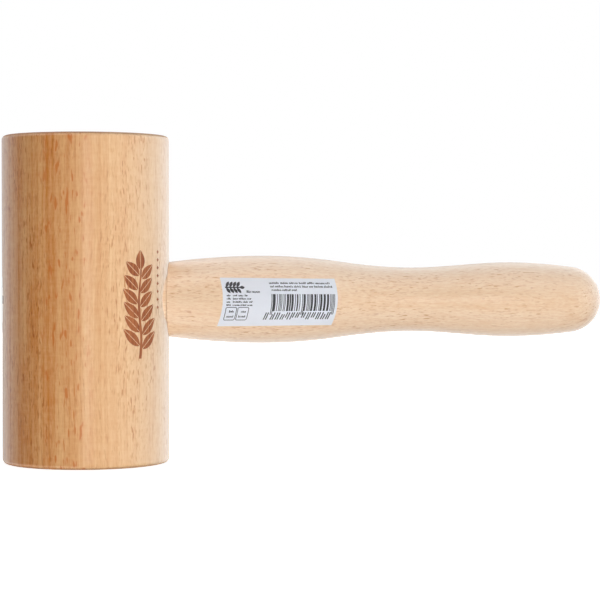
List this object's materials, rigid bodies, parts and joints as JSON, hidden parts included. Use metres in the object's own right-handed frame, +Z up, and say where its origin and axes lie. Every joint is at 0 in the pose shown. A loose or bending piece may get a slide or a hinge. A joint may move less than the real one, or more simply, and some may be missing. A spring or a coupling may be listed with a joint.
{
  "type": "wooden mallet",
  "caption": "Round wooden mallet: a turned cylindrical beech head on a waisted handle whose tenon passes through the head and is wedged, with a paper label on the handle.",
  "frame": {"origin": "centre of the lower striking face, on the head's axis", "axes": "+Z up along the head's axis from the lower to the upper striking face, +X along the handle towards its free end, -Y the side that carries the label"},
  "size_m": [0.3235, 0.09, 0.1765],
  "materials": {
    "head_wood": "satin lacquer",
    "handle_wood": "satin lacquer",
    "wedge_wood": "matte",
    "label_paper": "satin"
  },
  "bodies": {
    "root": {"head": "head_wood", "handle": "handle_wood", "wedge": "wedge_wood", "label": "label_paper"}
  },
  "joints": []
}
